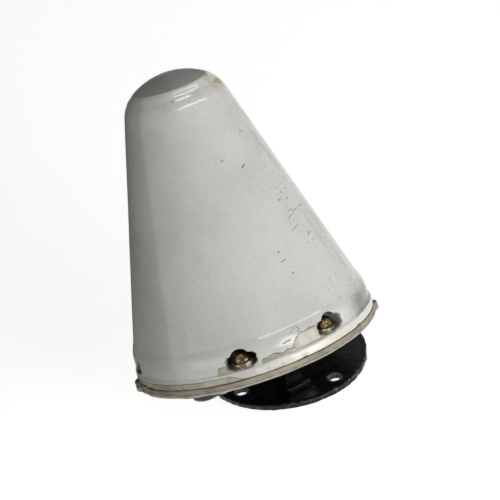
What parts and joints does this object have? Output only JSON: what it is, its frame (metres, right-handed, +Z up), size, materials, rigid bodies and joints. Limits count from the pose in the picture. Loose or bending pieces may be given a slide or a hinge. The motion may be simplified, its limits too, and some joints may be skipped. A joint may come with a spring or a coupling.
{
  "type": "radar dome antenna",
  "caption": "Conical radome with a turning radar scanner inside, on a tilting arm and a round deck flange with a ring of bolt holes.",
  "frame": {"origin": "centre of the deck flange's lower face", "axes": "+Z up, along the flange's normal; Y along the tilt axis; the head leans towards -X at rest"},
  "size_m": [0.1664, 0.1667, 0.2253],
  "materials": {
    "gelcoat": "aged white gelcoat over glass fibre",
    "black_paint": "gloss black enamel on cast aluminium",
    "stainless": "stainless fasteners",
    "screw_brass": "tarnished nickel-plated brass",
    "washer_metal": "dull nickel-plated brass",
    "brass": "turned brass",
    "bronze": "sintered bronze",
    "fibre": "resin-bonded fibre",
    "tray_metal": "grey-beige primer on cast aluminium",
    "rubber": "black rubber",
    "sealant": "hand-laid grey-beige sealant",
    "nylon": "moulded black nylon",
    "aluminium": "machined aluminium",
    "acetal": "machined natural acetal",
    "circuit_board": "green solder mask",
    "copper": "etched copper patches",
    "tin": "tin plate",
    "motor_case": "zinc-plated steel",
    "terminal_plastic": "moulded green polyamide",
    "sensor_plastic": "moulded black polyamide"
  },
  "bodies": {
    "mount": {"mount_flange": "black_paint", "pivot_bolt": "stainless", "pivot_washers": "stainless", "pivot_nut": "stainless", "friction_disc": "fibre"},
    "head": {"tilt_arm": "black_paint", "arm_screws": "stainless", "base_tray": "tray_metal", "rim_gasket": "rubber", "sealant_bead": "sealant", "radome": "gelcoat", "radome_screws": "screw_brass", "cup_washers": "washer_metal", "screw_inserts": "brass", "gland_body": "nylon", "gland_washer": "rubber", "gland_locknut": "nylon", "gland_seal": "rubber", "gland_nut": "nylon", "vent_plug": "nylon", "chassis_plate": "aluminium", "chassis_standoffs": "brass", "chassis_screws": "stainless", "bearing_housing": "aluminium", "housing_screws": "stainless", "spindle_bushes": "bronze", "slip_ring_stator": "nylon", "drive_motor": "motor_case", "motor_screws": "stainless", "transceiver_board": "circuit_board", "board_spacers": "brass", "board_screws": "stainless", "shield_can": "tin", "terminal_block": "terminal_plastic", "index_sensor": "sensor_plastic"},
    "scanner": {"spindle": "stainless", "spindle_circlip": "stainless", "slip_ring_rotor": "brass", "scan_gear": "acetal", "turntable": "aluminium", "turntable_nut": "stainless", "balance_weight": "brass", "panel_frame": "aluminium", "foot_screws": "stainless", "panel_board": "circuit_board", "radiating_patches": "copper", "panel_spacers": "acetal", "panel_screws": "stainless", "index_magnet": "stainless"},
    "pinion": {"motor_shaft": "stainless", "motor_pinion": "brass"}
  },
  "joints": [
    {"name": "tilt", "type": "hinge", "parent": "mount", "child": "head", "pos_m": [0.0233, -0.028, 0.0232], "axis": [0, 1, 0], "range_deg": [0, 36]},
    {"name": "scan", "type": "hinge", "parent": "head", "child": "scanner", "pos_m": [0.0233, -0.028, 0.0232], "axis": [-0.309, 0, 0.9511], "continuous": true},
    {"name": "pinion_spin", "type": "hinge", "parent": "head", "child": "pinion", "pos_m": [-0.01854, -0.028, 0.03063], "axis": [-0.309, 0, 0.9511], "continuous": true}
  ],
  "couplings": [
    {"joint": "pinion_spin", "follows": "scan", "ratio": -4}
  ]
}
